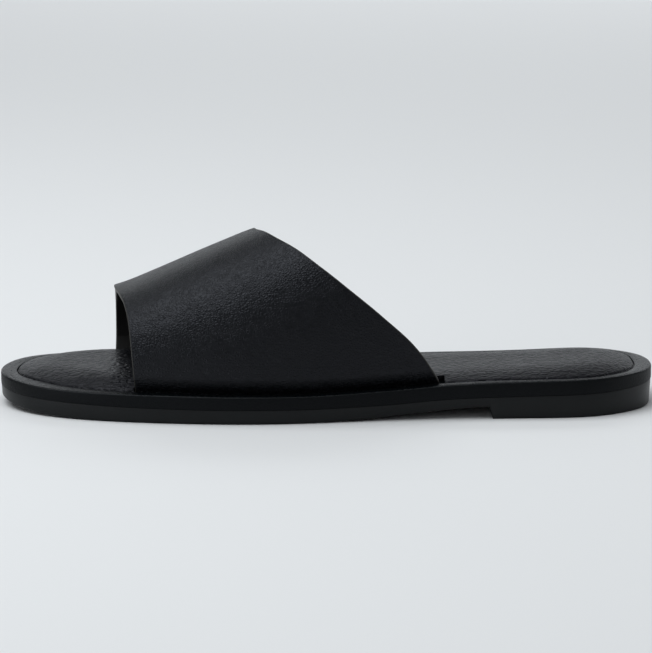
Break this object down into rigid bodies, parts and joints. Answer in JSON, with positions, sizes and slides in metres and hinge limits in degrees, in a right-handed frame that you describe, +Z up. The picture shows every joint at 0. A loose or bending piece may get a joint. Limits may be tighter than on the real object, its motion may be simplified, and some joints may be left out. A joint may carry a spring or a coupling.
{
  "type": "slide sandal",
  "caption": "Flat slide sandal for the left foot: one wide arched strap over a padded insole on a thin sole with a low heel block.",
  "frame": {"origin": "on the floor, under the middle of the shoe's box", "axes": "the toe points to -X and the heel to +X, the outer side of the foot to -Y and the inner side to +Y, +Z up"},
  "size_m": [0.26, 0.0904, 0.0699],
  "materials": {
    "outsole_rubber": "matt moulded rubber",
    "midsole_wrap": "black synthetic leather wrap, fine grain, satin on the rim and matt on the wall",
    "insole_leather": "black synthetic leather with fine lengthwise wrinkles, satin",
    "strap_leather": "black synthetic leather with a hair-cell grain, satin"
  },
  "bodies": {
    "root": {"outsole": "outsole_rubber", "midsole": "midsole_wrap", "insole": "insole_leather", "upper": "strap_leather"}
  },
  "joints": []
}
